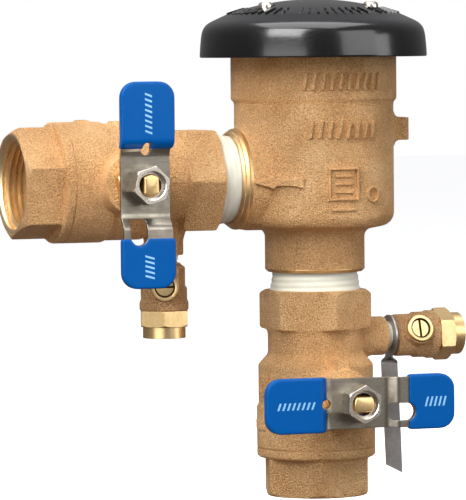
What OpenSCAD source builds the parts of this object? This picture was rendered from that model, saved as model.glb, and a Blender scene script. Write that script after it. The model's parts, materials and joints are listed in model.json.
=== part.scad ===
// Pressure vacuum breaker (backflow preventer) for irrigation, 1 inch size.
// Inlet ball valve below, vacuum breaker body above it, outlet ball valve to -X.
// The origin is the centre of the inlet port's face, +Z is up the inlet pipe,
// and both valve stems point to -Y.

/* [Pipe thread] */
// Radius of the 1 inch pipe thread, male and female
port_r = 16.7; // [16.4:0.1:17]
// Depth of each female port in a valve
port_depth = 15; // [13:0.5:15]
// Radius of the waterway through a valve
way_r = 11.5; // [10:0.5:12]

/* [Ball valve] */
// Length of a ball valve from face to face
valve_len = 78.8; // [78.8:0.2:80]
// Width across the flats of a valve's end hexagons
hex_af = 37.7; // [37.2:0.1:39]
// Outside radius of the ball chamber
chamber_r = 22.7; // [22.2:0.1:23]
// Outside radius of the neck between the chamber and the inner hexagon
neck_r = 18.3; // [17.5:0.1:18.5]
// Radius of the ball
ball_r = 17.6; // [17:0.1:17.7]
// Distance of the stem from the valve's outer face
stem_s = 38.1; // [37.8:0.1:38.4]

/* [Handle] */
// Length of the handle from grip end to grip end
handle_len = 76; // [74:1:84]
// Width of the handle's steel strip
strip_w = 19; // [18:0.5:20]
// Thickness of the handle's steel strip
strip_t = 1.8; // [1.4:0.1:2]
// How far the handle's ends stand out from its middle
strip_step = 3.2; // [2.5:0.1:4]
// Thickness of the vinyl skin on the grips
skin_t = 0.9; // [0.7:0.1:1]
// Width across the flats of the nut that holds the handle
nut_af = 12.8; // [12.5:0.1:13.2]

/* [Test cock] */
// Distance of the test cock from the valve's outer face
cock_s = 60; // [59.6:0.2:60.4]
// Reach of the cast boss that holds the test cock, from the valve's axis
cock_reach = 28.1; // [27.5:0.1:29]
// Turn of the inlet test cock about its own axis
inlet_clock = -18; // [-30:1:30]
// Turn of the outlet test cock about its own axis
outlet_clock = 17.6; // [-30:0.1:30]

/* [Vacuum breaker body] */
// Height of the body's lower mouth above the inlet face
mouth_z = 85.8; // [85.6:0.1:86.4]
// Height of the outlet axis
outlet_z = 121.5; // [121:0.1:122]
// Distance from the body's axis to the outlet boss's face
outlet_reach = 35.6; // [34.4:0.1:36]
// Visible length of the taped thread at the outlet
outlet_gap = 7.1; // [7:0.1:8]
// Outside radius of the bowl
bowl_r = 30.5; // [30.3:0.1:31]
// Outside radius of the collar above the bowl
collar_r = 31.7; // [31.5:0.1:32]
// Height of the top of the collar
body_top = 172; // [172:0.5:173]

/* [Canopy] */
// Height of the canopy's rim
rim_z = 167.6; // [167:0.1:168]
// Radius of the canopy's rim
rim_r = 43.4; // [43:0.1:45]
// Height of the canopy from rim to crown
canopy_h = 22.1; // [22:0.1:22.4]
// Radius of the circle of canopy screws
screw_circle_r = 23.3; // [23:0.1:23.6]

/* [Hidden] */
$fn = 64;
neck_top = valve_len - port_depth;
chamber_bottom = 18.4;
cavity_r = 19.3;
cavity_top = 51;
seat_out = 15.2;
seat_in = 10.2;
seat_r = 15.1;
boss_top = 31.5;
plate_y = 40.6;
nut_y = plate_y + strip_t;
nut_h = 7.8;
nut_recess = 2.4;
nut_recess_r = 5.2;
stem_r = 5;
thread_r = 4.2;
stem_flats = 6;
gland_r = 6.95;
outlet_face = outlet_reach + outlet_gap + valve_len;
cock_thread_r = 5.05;
cock_port_r = 6.85;
cock_stem_x = 11.7;
cock_ball_r = 4.8;
cock_cavity_r = 6;
cavity_floor = 106;
cage_z = 140;
bonnet_r = 27.5;
seat_z = 110;
screw_turn = 78.6;
crown_z = rim_z + canopy_h;
crown_arc_r = 97.3;
post_top = 182.3;
hub_z = 163;
screw_seat_z = crown_z - 3.4;

// ---------- shared shapes ----------

function arc(cx, cy, r, from, to, n = 8) =
    [for (i = [0:n]) let (a = from + (to - from) * i / n) [cx + r * cos(a), cy + r * sin(a)]];

// A rectangle with its own corner radius at each end, centred on y = 0
function rounded_plate(x0, x1, half_w, r0, r1) = concat(
    arc(x0 + r0, -half_w + r0, r0, 180, 270),
    arc(x1 - r1, -half_w + r1, r1, 270, 360),
    arc(x1 - r1, half_w - r1, r1, 0, 90),
    arc(x0 + r0, half_w - r0, r0, 90, 180)
);

// A cylinder along -Y between two distances from the axis
module along_stem(r, from, to, r2 = undef) {
    translate([0, -from, 0])
        rotate([90, 0, 0])
            cylinder(h = to - from, r1 = r, r2 = is_undef(r2) ? r : r2);
}

module along_x(r, from, to, r2 = undef) {
    translate([from, 0, 0])
        rotate([0, 90, 0])
            cylinder(h = to - from, r1 = r, r2 = is_undef(r2) ? r : r2);
}

module tube(r_out, r_in, z0, z1) {
    translate([0, 0, z0])
        difference() {
            cylinder(h = z1 - z0, r = r_out);
            translate([0, 0, -1])
                cylinder(h = z1 - z0 + 2, r = r_in);
        }
}

// A hexagonal prism whose corners are turned off at the chosen ends
module hex_prism(af, h, chamfer_low = 0, chamfer_high = 0) {
    r = af / 2 / cos(30);
    slope = 0.6;
    intersection() {
        cylinder(h = h, r = r, $fn = 6);
        rotate_extrude()
            polygon([
                [0, 0], [r - chamfer_low, 0], [r, chamfer_low * slope],
                [r, h - chamfer_high * slope], [r - chamfer_high, h], [0, h]
            ]);
    }
}

module ring_of_round_wire(major, minor) {
    rotate_extrude()
        translate([major, 0])
            circle(r = minor, $fn = 24);
}

function coil_point(r, wire, height, turns, t) =
    [r * cos(360 * turns * t), r * sin(360 * turns * t), wire + (height - 2 * wire) * t];

// A helical spring standing on z = 0, its wire swept as rings of points
module coil_spring(r, wire, height, turns) {
    sides = 8;
    steps = turns * 20;
    points = [
        for (i = [0:steps]) let (
            t = i / steps,
            a = 360 * turns * t,
            c = coil_point(r, wire, height, turns, t)
        )
        for (k = [0:sides - 1]) let (b = 360 * k / sides)
            [c[0] + wire * cos(b) * cos(a), c[1] + wire * cos(b) * sin(a), c[2] + wire * sin(b)]
    ];
    walls = [
        for (i = [0:steps - 1], k = [0:sides - 1]) let (j = (k + 1) % sides)
            [i * sides + k, i * sides + j, (i + 1) * sides + j, (i + 1) * sides + k]
    ];
    caps = [
        [for (k = [sides - 1:-1:0]) k],
        [for (k = [0:sides - 1]) steps * sides + k]
    ];
    polyhedron(points = points, faces = concat(walls, caps), convexity = 6);
}

// Places a part of the outlet valve, which is the inlet valve laid on its side
module at_outlet() {
    translate([-outlet_face, 0, outlet_z])
        rotate([0, 90, 0])
            children();
}

// ---------- ball valve, its axis along Z and its stem along -Y ----------

module valve_castings() {
    rotate_extrude()
        polygon(concat(
            [[0, chamber_bottom], [chamber_r, chamber_bottom], [chamber_r, 34.2]],
            [[chamber_r - 0.7, 35], [chamber_r - 0.7, 49.6]],
            arc(chamber_r - 2.2, 49.6, 1.5, 0, 50, 4),
            arc(neck_r + 2.6, 55.2, 2.6, 230, 180, 5),
            [[neck_r, neck_top - 1.8], [neck_r + 0.6, neck_top], [0, neck_top]]
        ));
    translate([0, 0, neck_top])
        rotate([0, 0, 30])
            hex_prism(hex_af, port_depth, 1.2, 2.4);
}

module valve_body() {
    color("#b98149")
    difference() {
        union() {
            valve_castings();
            translate([0, 0, stem_s])
                along_stem(11.6, 10, boss_top);
            translate([-2.6, -29, stem_s + 8])
                cube([5.2, 12, 7.5]);
            translate([0, 0, cock_s])
                along_x(7.5, 10, cock_reach);
            translate([0, 0, cock_s])
                along_x(9.6, 15, 22.5, 7.5);
        }
        translate([0, 0, neck_top])
            cylinder(h = port_depth + 1, r = port_r);
        translate([0, 0, 45])
            cylinder(h = 30, r = way_r);
        translate([0, 0, 45])
            cylinder(h = stem_s + seat_out - 45, r = seat_r);
        translate([0, 0, chamber_bottom - 1])
            cylinder(h = cavity_top - chamber_bottom + 1, r = cavity_r);
        translate([0, 0, stem_s]) {
            along_stem(stem_r + 0.08, 10, boss_top + 1);
            along_stem(7.3, 10, 20.5);
            along_stem(gland_r, 25.6, boss_top + 1);
        }
        translate([0, 0, cock_s]) {
            along_x(2.2, 5, cock_reach);
            along_x(cock_thread_r, cock_reach - 8.5, cock_reach + 1);
        }
    }
}

module end_adapter() {
    color("#bd864c")
    difference() {
        union() {
            rotate([0, 0, 13.4])
                hex_prism(hex_af, 14.9, 2.6, 0.6);
            rotate_extrude()
                polygon([
                    [0, 14.7], [chamber_r - 0.9, 14.7], [chamber_r, 15.6], [chamber_r, chamber_bottom],
                    [cavity_r, chamber_bottom], [cavity_r, 26], [0, 26]
                ]);
        }
        translate([0, 0, -1])
            cylinder(h = 15, r = port_r);
        translate([0, 0, 5])
            cylinder(h = 30, r = way_r);
        translate([0, 0, stem_s - seat_out])
            cylinder(h = 10, r = seat_r);
    }
}

// The ball stands closed: its bore is square to the pipe, along the handle
module ball() {
    color("silver")
    translate([0, 0, stem_s])
        difference() {
            sphere(r = ball_r, $fn = 96);
            along_x(11, -20, 20);
            translate([-20, -20, -3.1])
                cube([40, 20 - 13.6, 6.2]);
        }
}

module ball_seats() {
    color("white")
    for (side = [0, 1])
        translate([0, 0, stem_s])
            mirror([0, 0, side])
                difference() {
                    translate([0, 0, seat_in])
                        cylinder(h = seat_out - seat_in, r = seat_r - 0.02);
                    cylinder(h = 20, r = way_r);
                    sphere(r = ball_r + 0.06, $fn = 96);
                }
}

module flat_sided_stud(r, flats, from, to) {
    intersection() {
        along_stem(r, from, to);
        translate([-r - 1, -to - 1, -flats / 2])
            cube([2 * r + 2, to - from + 2, flats]);
    }
}

module stem() {
    color("#c9a24a")
    translate([0, 0, stem_s]) {
        translate([-5.5, -17.9, -3])
            cube([11, 4.1, 6]);
        along_stem(6.9, 17.8, 19);
        along_stem(stem_r, 19, plate_y);
        flat_sided_stud(thread_r, stem_flats, plate_y, plate_y + strip_t + nut_h - 0.6);
    }
}

module stem_ring(r_out, from, to) {
    translate([0, 0, stem_s])
        difference() {
            along_stem(r_out, from, to);
            along_stem(stem_r + 0.03, from - 1, to + 1);
        }
}

module thrust_washer() {
    color("white")
        stem_ring(7.25, 19.03, 20.47);
}

module stem_packing() {
    color("white")
        stem_ring(gland_r, 25.6, 28.4);
}

module packing_nut() {
    color("#c2a052")
    translate([0, 0, stem_s])
        difference() {
            union() {
                along_stem(gland_r, 28.4, boss_top + 1);
                translate([0, -boss_top, 0])
                    rotate([90, 0, 0])
                        rotate([0, 0, 12])
                            hex_prism(15.2, 5, 0, 0.9);
            }
            along_stem(stem_r + 0.05, 20, 40);
        }
}

// ---------- handle, its length along X at its valve's stem ----------

grip_long_x = -13.2;
grip_short_x = 19.4;
flat_half = 11.2;
ramp = 5.2;
slot_x0 = 12.4;
slot_x1 = 22;
slot_z0 = -6.9;
slot_z1 = -0.3;

function ease(t) = let (u = max(0, min(1, t))) u * u * (3 - 2 * u);

// Distance of the strip's middle from the valve's axis, at a place along its length
function strip_y(x) = -(plate_y + strip_t / 2 + strip_step * ease((abs(x) - flat_half) / ramp));

// The strip seen from its edge, from x0 to x1, thickened by half_t to each side
function strip_edge(x0, x1, half_t, n = 36) = concat(
    [for (i = [0:n]) let (x = x0 + (x1 - x0) * i / n) [x, strip_y(x) - half_t]],
    [for (i = [n:-1:0]) let (x = x0 + (x1 - x0) * i / n) [x, strip_y(x) + half_t]]
);

module strip(x0, x1, half_t, half_w) {
    translate([0, 0, -half_w])
        linear_extrude(height = 2 * half_w)
            polygon(strip_edge(x0, x1, half_t));
}

// Cuts a shape to a plan drawn in X and Z
module within_plan(points) {
    intersection() {
        children();
        rotate([90, 0, 0])
            linear_extrude(height = 60)
                polygon(points);
    }
}

module plan_cut(points) {
    rotate([90, 0, 0])
        linear_extrude(height = 60)
            polygon(points);
}

slot_plan = concat(
    arc(slot_x0 + 1.5, slot_z0 + 1.5, 1.5, 180, 270, 4),
    arc(slot_x1 - 3.2, slot_z0 + 3.2, 3.2, 270, 360),
    arc(slot_x1 - 3.2, slot_z1 - 3.2, 3.2, 0, 90),
    arc(slot_x0 + 1.5, slot_z1 - 1.5, 1.5, 90, 180, 4)
);
key_plan = rounded_plate(-16.4, -11, 1.7, 1.2, 1.6);

module steel_strip() {
    end = handle_len / 2 - skin_t;
    difference() {
        within_plan(rounded_plate(-end, end, strip_w / 2, 5, 5))
            strip(-end, end, strip_t / 2, strip_w / 2);
        plan_cut(slot_plan);
        plan_cut(key_plan);
        flat_sided_stud(thread_r + 0.06, stem_flats + 0.12, 30, 60);
    }
}

module handle() {
    color("#b9b6ae")
    translate([0, 0, stem_s])
        steel_strip();
}

module grip_skin(x0, x1, r0, r1) {
    half_w = strip_w / 2 + skin_t;
    translate([0, 0, stem_s])
        difference() {
            within_plan(rounded_plate(x0, x1, half_w, r0, r1))
                strip(x0, x1, strip_t / 2 + skin_t, half_w);
            steel_strip();
            children();
        }
}

module long_grip() {
    color("#0b62b4")
        grip_skin(-handle_len / 2, grip_long_x, 6, 1)
            plan_cut(rounded_plate(-15.6, -10, 1.5, 1.2, 1.2));
}

module short_grip() {
    color("#0b62b4")
        grip_skin(grip_short_x, handle_len / 2, 1, 6)
            plan_cut(slot_plan);
}

// The nut's outer end has a recess round the stem
module handle_nut(turn) {
    color("#c8c5bd")
    translate([0, -nut_y, stem_s])
        rotate([90, 0, 0])
            difference() {
                rotate([0, 0, turn])
                    hex_prism(nut_af, nut_h, 0, 0.3);
                translate([0, 0, -1])
                    cylinder(h = nut_h + 2, r = thread_r + 0.06);
                translate([0, 0, nut_h - nut_recess])
                    cylinder(h = nut_recess + 1, r = nut_recess_r);
            }
}

// ---------- test cock, its axis along X from the boss's end, its stem along -Y ----------

module at_cock(clock) {
    translate([cock_reach, 0, cock_s])
        rotate([clock, 0, 0])
            children();
}

module cock_body() {
    color("#a97a4c")
    difference() {
        union() {
            along_x(5, -7.6, 3.2);
            rotate([0, 90, 0])
                rotate_extrude()
                    polygon([
                        [0, 2.9], [6.2, 2.9], [6.6, 3.6], [7.9, 4.4], [8.1, 5], [8.1, 11.6],
                        [8.8, 12.4], [8.8, 16.8], [9.3, 17.8], [9.3, 20.5], [8.9, 20.9], [0, 20.9]
                    ]);
            translate([cock_stem_x, 0, 0])
                along_stem(6, 2, 9.4);
        }
        along_x(2.2, -10, 10);
        along_x(cock_cavity_r, 5.5, 22);
        translate([cock_stem_x, 0, 0]) {
            along_stem(3.35, 1, 12);
            along_stem(5.3, 7.5, 12);
        }
    }
}

module cock_end(turn) {
    color("#c59f55")
    difference() {
        union() {
            along_x(cock_cavity_r, 17.9, 21.2);
            translate([20.9, 0, 0])
                rotate([0, 90, 0])
                    rotate([0, 0, turn])
                        hex_prism(17.6, 6.1, 0.5, 1.1);
            along_x(8.1, 26.8, 31.3);
        }
        along_x(2.5, 10, 30);
        along_x(cock_port_r, 22, 32);
    }
}

module cock_ball() {
    color("silver")
    translate([cock_stem_x, 0, 0])
        difference() {
            sphere(r = cock_ball_r);
            cylinder(h = 20, r = 2.2, center = true);
            translate([-0.8, -6, -6])
                cube([1.6, 2.9, 12]);
        }
}

module cock_seats() {
    color("white")
    for (side = [0, 180])
        translate([cock_stem_x, 0, 0])
            rotate([0, 90 + side, 0])
                difference() {
                    translate([0, 0, 3.4])
                        cylinder(h = 2.8, r = cock_cavity_r - 0.02);
                    translate([0, 0, 1])
                        cylinder(h = 8, r = 2.4);
                    sphere(r = cock_ball_r + 0.05);
                }
}

module cock_stem() {
    color("#c9a651")
    translate([cock_stem_x, 0, 0])
        difference() {
            union() {
                translate([-0.7, -5, -2.2])
                    cube([1.4, 1.7, 4.4]);
                along_stem(3.3, 4.9, 6);
                along_stem(2.2, 5.9, 7.3);
                along_stem(3.3, 7.2, 9.7);
            }
            translate([-0.45, -11, -4])
                cube([0.9, 2.2, 8]);
        }
}

module cock_gland() {
    color("#c9a651")
    translate([cock_stem_x, 0, 0])
        difference() {
            along_stem(5.3, 7.5, 10.4);
            along_stem(3.36, 7, 11);
        }
}

module cock_oring() {
    color("#222222")
    translate([cock_stem_x, -6.6, 0])
        rotate([90, 0, 0])
            ring_of_round_wire(2.77, 0.55);
}

module cock_tape() {
    color("#eef0ea")
        difference() {
            along_x(cock_thread_r + 0.5, 0, 1.95);
            along_x(5, -1, 4);
        }
}

// ---------- joints between the castings ----------

module nipple(z0, z1) {
    color("#c59f55")
        tube(port_r, 13.3, z0, z1);
}

module tape(z0, z1, r_low, r_high) {
    color("#f1f2ec")
    translate([0, 0, z0])
        difference() {
            cylinder(h = z1 - z0, r1 = r_low, r2 = r_high);
            translate([0, 0, -1])
                cylinder(h = z1 - z0 + 2, r = port_r);
        }
}

strap_t = 0.7;
strap_w = 6.4;
strap_len = 50.1;
strap_twist = 69;
strap_x = cock_reach + 2.12;
twist_from = 8;
twist_to = 10.9;
tail_from = 6.2;

function strap_turn(d) = strap_twist * ease((d - twist_from) / (twist_to - twist_from));

// One cross-section of the strap's tail, at a distance below the test cock's axis
function strap_section(d) = let (
    a = strap_turn(d),
    lean = 0.045 * max(0, d - twist_to),
    across = [sin(a), -cos(a)],
    through = [cos(a), sin(a)]
) [
    for (c = [[-1, -1], [1, -1], [1, 1], [-1, 1]]) let (
        cut = d > strap_len - 8 ? 1.6 * (c[0] + 1) * (d - strap_len + 8) / 8 : 0
    )
    [
        strap_x + strap_t / 2 + lean + across[0] * c[0] * strap_w / 2 + through[0] * c[1] * strap_t / 2,
        across[1] * c[0] * strap_w / 2 + through[1] * c[1] * strap_t / 2,
        cock_s - d - cut
    ]
];

// A stamped steel strap: a washer round the test cock's thread, with a twisted tail
module tag_strap() {
    drops = concat(
        [tail_from],
        [for (i = [0:7]) twist_from + (twist_to - twist_from) * i / 7],
        [for (i = [1:12]) twist_to + (strap_len - twist_to) * i / 12]
    );
    rings = [for (d = drops) strap_section(d)];
    last = len(rings) - 1;
    color("#9d9a93") {
        difference() {
            translate([0, 0, cock_s])
                along_x(8, strap_x - 0.03, strap_x + strap_t + 0.03);
            translate([0, 0, cock_s])
                along_x(cock_thread_r + 0.25, 20, 40);
        }
        polyhedron(
            points = [for (r = rings) each r],
            faces = concat(
                [[0, 2, 1], [0, 3, 2]],
                [for (i = [0:last - 1], k = [0:3], f = [0, 1]) let (
                    j = (k + 1) % 4,
                    a = 4 * i + k,
                    b = 4 * (i + 1) + k,
                    c = 4 * (i + 1) + j,
                    d = 4 * i + j
                )
                    f == 0 ? [a, d, c] : [a, c, b]],
                [[4 * last, 4 * last + 1, 4 * last + 2], [4 * last, 4 * last + 2, 4 * last + 3]]
            )
        );
    }
}

// ---------- vacuum breaker ----------

module body() {
    color("#b57e45")
    difference() {
        union() {
            rotate_extrude()
                polygon(concat(
                    [[0, mouth_z], [18.1, mouth_z], [19.1, mouth_z + 1]],
                    arc(22.1, 99.2, 3, 180, 90, 5),
                    [[25.5, 102.9]],
                    arc(bowl_r - 5.4, 108.3, 5.4, -86, 0, 7),
                    [[bowl_r, 150.4], [collar_r, 151.6], [collar_r, body_top], [0, body_top]]
                ));
            translate([0, 0, outlet_z])
                rotate([0, -90, 0])
                    rotate_extrude()
                        polygon([
                            [0, 15], [19.6, 15], [19.6, 28], [19.1, 31], [19.1, outlet_reach - 2.4],
                            [17.5, outlet_reach - 0.2], [17.3, outlet_reach], [0, outlet_reach]
                        ]);
            translate([26, -4.5, 135.4])
                cube([11.6, 9, 8.8]);
        }
        translate([0, 0, mouth_z - 1])
            cylinder(h = 17, r = port_r);
        translate([0, 0, 95])
            cylinder(h = 10, r = 13);
        translate([0, 0, cavity_floor - 2])
            cylinder(h = 10, r = 17);
        translate([0, 0, cavity_floor])
            cylinder(h = 40, r = 25);
        translate([0, 0, cage_z])
            cylinder(h = 40, r = 26);
        translate([0, 0, 156])
            cylinder(h = 20, r = bonnet_r);
        translate([0, 0, outlet_z])
            along_x(port_r, -outlet_reach - 1, -10);
    }
}

module check_seat() {
    color("#c9a24a")
    rotate_extrude()
        polygon([[13, 104], [17, 104], [17, 107], [14.6, seat_z], [13, seat_z]]);
}

module check_poppet() {
    color("#d8d4c4") {
        translate([0, 0, seat_z])
            cylinder(h = 2.6, r = 3);
        translate([0, 0, seat_z + 2.5])
            cylinder(h = 3, r = 17);
        translate([0, 0, seat_z + 5])
            cylinder(h = 16, r = 3.5);
    }
}

module check_disc() {
    color("#2b2b2b")
        tube(16, 3, seat_z, seat_z + 2.5);
}

module check_retainer() {
    color("#d8d4c4") {
        translate([0, 0, seat_z - 2])
            cylinder(h = 2, r = 10);
        intersection() {
            translate([0, 0, 99])
                cylinder(h = seat_z - 99 - 0.5, r = 12.65);
            for (a = [0, 90])
                rotate([0, 0, a])
                    translate([-14, -0.8, 99])
                        cube([28, 1.6, 12]);
        }
    }
}

module check_spring() {
    color("silver")
    translate([0, 0, seat_z + 5.5])
        coil_spring(8.5, 0.7, 22.4, 6);
}

module guide_cage() {
    color("#d8d4c4")
    difference() {
        union() {
            translate([0, 0, 122])
                cylinder(h = 24, r = 5.8);
            translate([0, 0, 138])
                cylinder(h = 2.5, r = 11);
            tube(25.9, 22.3, cage_z, cage_z + 3);
            for (a = [45:90:315])
                rotate([0, 0, a]) {
                    translate([5, -1.5, cage_z])
                        cube([18, 3, 3]);
                    translate([22.6, -2.5, cage_z])
                        cube([2.6, 5, 16]);
                }
        }
        translate([0, 0, 120])
            cylinder(h = 30, r = 3.6);
    }
}

module bonnet() {
    color("#3a3a3c")
    difference() {
        union() {
            tube(bonnet_r, 24, 156, body_top);
            tube(31.2, 19.8, body_top, body_top + 3);
            tube(24.5, 12, 161, 164);
            tube(14, 12, 159, 161.5);
            translate([0, 0, hub_z])
                cylinder(h = 3, r = 5);
            for (a = [0:120:240])
                rotate([0, 0, a])
                    translate([4.6, -1.25, hub_z - 1])
                        cube([8.4, 2.5, 3]);
            for (a = [0:120:240])
                rotate([0, 0, a + screw_turn])
                    translate([screw_circle_r, 0, body_top])
                        cylinder(h = post_top - body_top, r = 3.1);
        }
        tube(bonnet_r + 1, bonnet_r - 1.8, 168.1, 169.9);
        for (a = [0:120:240])
            rotate([0, 0, a + screw_turn])
                translate([screw_circle_r, 0, 176])
                    cylinder(h = 10, r = 1.6);
    }
}

module bonnet_oring() {
    color("#222222")
    translate([0, 0, 169])
        ring_of_round_wire(bonnet_r - 0.9, 0.9);
}

module air_poppet() {
    color("#d8d4c4") {
        translate([0, 0, 139.5])
            cylinder(h = 9, r = 3.5);
        translate([0, 0, 148])
            cylinder(h = 3, r = 16.5);
        translate([0, 0, 150.5])
            cylinder(h = 4.5, r = 3);
    }
}

module air_disc() {
    color("#b5482f")
        tube(16.5, 3, 151, 153);
}

module air_spring() {
    color("silver")
    translate([0, 0, 153])
        coil_spring(4, 0.4, hub_z - 153, 4);
}

// Points on a dome of crown_arc_r, lowered by drop, from the axis out to radius r
function crown(r, drop, n = 10) =
    [for (i = [0:n]) let (x = r * i / n) [x, crown_z - drop - x * x / 2 / crown_arc_r]];

module dome() {
    rotate_extrude()
        polygon(concat(
            [[0, rim_z]], crown(33.2, 0),
            [[36.8, rim_z + 14.7], [39.4, rim_z + 13.5], [41.1, rim_z + 12.2], [42.2, rim_z + 10.7]],
            [[42.8, rim_z + 8], [rim_r, rim_z + 0.4], [rim_r - 0.3, rim_z]]
        ));
}

module dome_hollow() {
    rotate_extrude()
        polygon(concat(
            [[0, rim_z - 1]], crown(32, 2),
            [[35.6, rim_z + 13.2], [38.2, rim_z + 11.8], [39.8, rim_z + 10], [40.6, rim_z + 7.6]],
            [[rim_r - 2, rim_z], [rim_r - 2, rim_z - 1]]
        ));
}

module at_canopy_screws() {
    for (a = [0:120:240])
        rotate([0, 0, a + screw_turn])
            translate([screw_circle_r, 0, 0])
                children();
}

module canopy() {
    color("#1b1b1d")
    difference() {
        union() {
            difference() {
                dome();
                dome_hollow();
            }
            intersection() {
                dome();
                at_canopy_screws()
                    translate([0, 0, post_top])
                        cylinder(h = 8, r = 4);
            }
        }
        at_canopy_screws() {
            cylinder(h = 300, r = 1.8);
            translate([0, 0, screw_seat_z])
                cylinder(h = 10, r = 3.5);
        }
    }
}

module canopy_screws() {
    color("#cfcdc6")
    at_canopy_screws() {
        translate([0, 0, 177])
            cylinder(h = screw_seat_z - 177 + 0.2, r = 1.6);
        difference() {
            translate([0, 0, screw_seat_z])
                rotate_extrude()
                    polygon(concat([[0, 0], [2.9, 0], [2.9, 0.9]], arc(1.6, 0.9, 1.3, 0, 80, 6), [[0, 2.2]]));
            for (a = [0, 90])
                rotate([0, 0, a])
                    translate([-1.7, -0.35, screw_seat_z + 1.1])
                        cube([3.4, 0.7, 3]);
        }
    }
}

// ---------- nodes ----------

body();
canopy();
canopy_screws();
bonnet();
bonnet_oring();
guide_cage();
check_seat();
air_poppet();
air_disc();
air_spring();
check_poppet();
check_disc();
check_retainer();
check_spring();
nipple(neck_top + 1, mouth_z + 15);  // inlet_nipple
at_outlet() nipple(neck_top + 1, outlet_face - 23.5);  // outlet_nipple
tape(valve_len, mouth_z, port_r + 0.75, port_r + 0.25);  // inlet_tape
at_outlet() tape(valve_len, valve_len + outlet_gap, port_r + 0.6, port_r + 0.3);  // outlet_tape
tag_strap();

valve_body();  // inlet_valve_body
end_adapter();  // inlet_end_adapter
ball();  // inlet_ball
ball_seats();  // inlet_ball_seats
stem();  // inlet_stem
thrust_washer();  // inlet_thrust_washer
stem_packing();  // inlet_stem_packing
packing_nut();  // inlet_packing_nut
handle();  // inlet_handle
long_grip();  // inlet_long_grip
short_grip();  // inlet_short_grip
handle_nut(27);  // inlet_handle_nut
at_cock(inlet_clock) cock_body();  // inlet_cock_body
at_cock(inlet_clock) cock_end(14);  // inlet_cock_end
at_cock(inlet_clock) cock_ball();  // inlet_cock_ball
at_cock(inlet_clock) cock_seats();  // inlet_cock_seats
at_cock(inlet_clock) cock_stem();  // inlet_cock_stem
at_cock(inlet_clock) cock_gland();  // inlet_cock_gland
at_cock(inlet_clock) cock_oring();  // inlet_cock_oring
at_cock(inlet_clock) cock_tape();  // inlet_cock_tape

at_outlet() valve_body();  // outlet_valve_body
at_outlet() end_adapter();  // outlet_end_adapter
at_outlet() ball();  // outlet_ball
at_outlet() ball_seats();  // outlet_ball_seats
at_outlet() stem();  // outlet_stem
at_outlet() thrust_washer();  // outlet_thrust_washer
at_outlet() stem_packing();  // outlet_stem_packing
at_outlet() packing_nut();  // outlet_packing_nut
at_outlet() handle();  // outlet_handle
at_outlet() long_grip();  // outlet_long_grip
at_outlet() short_grip();  // outlet_short_grip
at_outlet() handle_nut(47);  // outlet_handle_nut
at_outlet() at_cock(outlet_clock) cock_body();  // outlet_cock_body
at_outlet() at_cock(outlet_clock) cock_end(31);  // outlet_cock_end
at_outlet() at_cock(outlet_clock) cock_ball();  // outlet_cock_ball
at_outlet() at_cock(outlet_clock) cock_seats();  // outlet_cock_seats
at_outlet() at_cock(outlet_clock) cock_stem();  // outlet_cock_stem
at_outlet() at_cock(outlet_clock) cock_gland();  // outlet_cock_gland
at_outlet() at_cock(outlet_clock) cock_oring();  // outlet_cock_oring
at_outlet() at_cock(outlet_clock) cock_tape();  // outlet_cock_tape
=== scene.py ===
import json
import math

import bmesh
import bpy
from mathutils import Matrix, Vector


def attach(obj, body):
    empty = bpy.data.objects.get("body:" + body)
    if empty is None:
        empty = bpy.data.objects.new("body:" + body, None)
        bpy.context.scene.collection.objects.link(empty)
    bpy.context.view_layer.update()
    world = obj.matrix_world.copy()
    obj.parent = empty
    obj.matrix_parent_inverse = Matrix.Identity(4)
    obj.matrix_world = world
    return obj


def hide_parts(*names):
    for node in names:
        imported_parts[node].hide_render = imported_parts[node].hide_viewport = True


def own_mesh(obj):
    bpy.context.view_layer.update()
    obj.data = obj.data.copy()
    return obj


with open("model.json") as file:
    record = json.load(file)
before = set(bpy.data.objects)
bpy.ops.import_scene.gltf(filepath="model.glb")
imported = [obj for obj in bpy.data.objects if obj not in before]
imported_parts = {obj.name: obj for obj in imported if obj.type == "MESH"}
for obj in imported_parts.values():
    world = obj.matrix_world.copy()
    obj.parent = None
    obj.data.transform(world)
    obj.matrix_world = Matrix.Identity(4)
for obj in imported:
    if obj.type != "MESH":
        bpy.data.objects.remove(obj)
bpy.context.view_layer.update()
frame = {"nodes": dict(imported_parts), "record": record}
scene = bpy.context.scene
MM = 0.001
SEG = 128
tau = 2 * math.pi

# ---------- camera ----------

AZIMUTH = math.radians(-20.6)
ELEVATION = math.radians(2.81)
DISTANCE = 1.65
FRAME_TALL = 0.1915
TARGET = Vector((-0.0293, 0.0110, 0.0940))
ROLL = math.radians(0.5)

back = Vector((
    math.sin(AZIMUTH) * math.cos(ELEVATION),
    -math.cos(AZIMUTH) * math.cos(ELEVATION),
    math.sin(ELEVATION),
))
cam_data = bpy.data.cameras.new("camera")
cam_data.sensor_width = 36
cam_data.lens = 36 * DISTANCE / FRAME_TALL
cam_data.clip_start, cam_data.clip_end = 0.05, 20
camera = bpy.data.objects.new("camera", cam_data)
scene.collection.objects.link(camera)
camera.rotation_mode = "QUATERNION"
camera.location = TARGET + back * DISTANCE
camera.rotation_quaternion = (
    Matrix.Rotation(-ROLL, 3, back).to_quaternion() @ (-back).to_track_quat("-Z", "Y")
)
scene.camera = camera

# ---------- studio ----------

scene.view_settings.view_transform = "Standard"
scene.view_settings.look = "None"


def aim(obj, at):
    obj.rotation_mode = "QUATERNION"
    obj.rotation_quaternion = (Vector(at) - obj.location).to_track_quat("-Z", "Y")


def softbox(name, place, at, wide, tall, watts, colour=(1, 1, 1)):
    data = bpy.data.lights.new(name, "AREA")
    data.shape = "RECTANGLE"
    data.size, data.size_y = wide, tall
    data.energy = watts
    data.color = colour
    obj = bpy.data.objects.new(name, data)
    obj.location = place
    aim(obj, at)
    scene.collection.objects.link(obj)
    return obj


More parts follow.
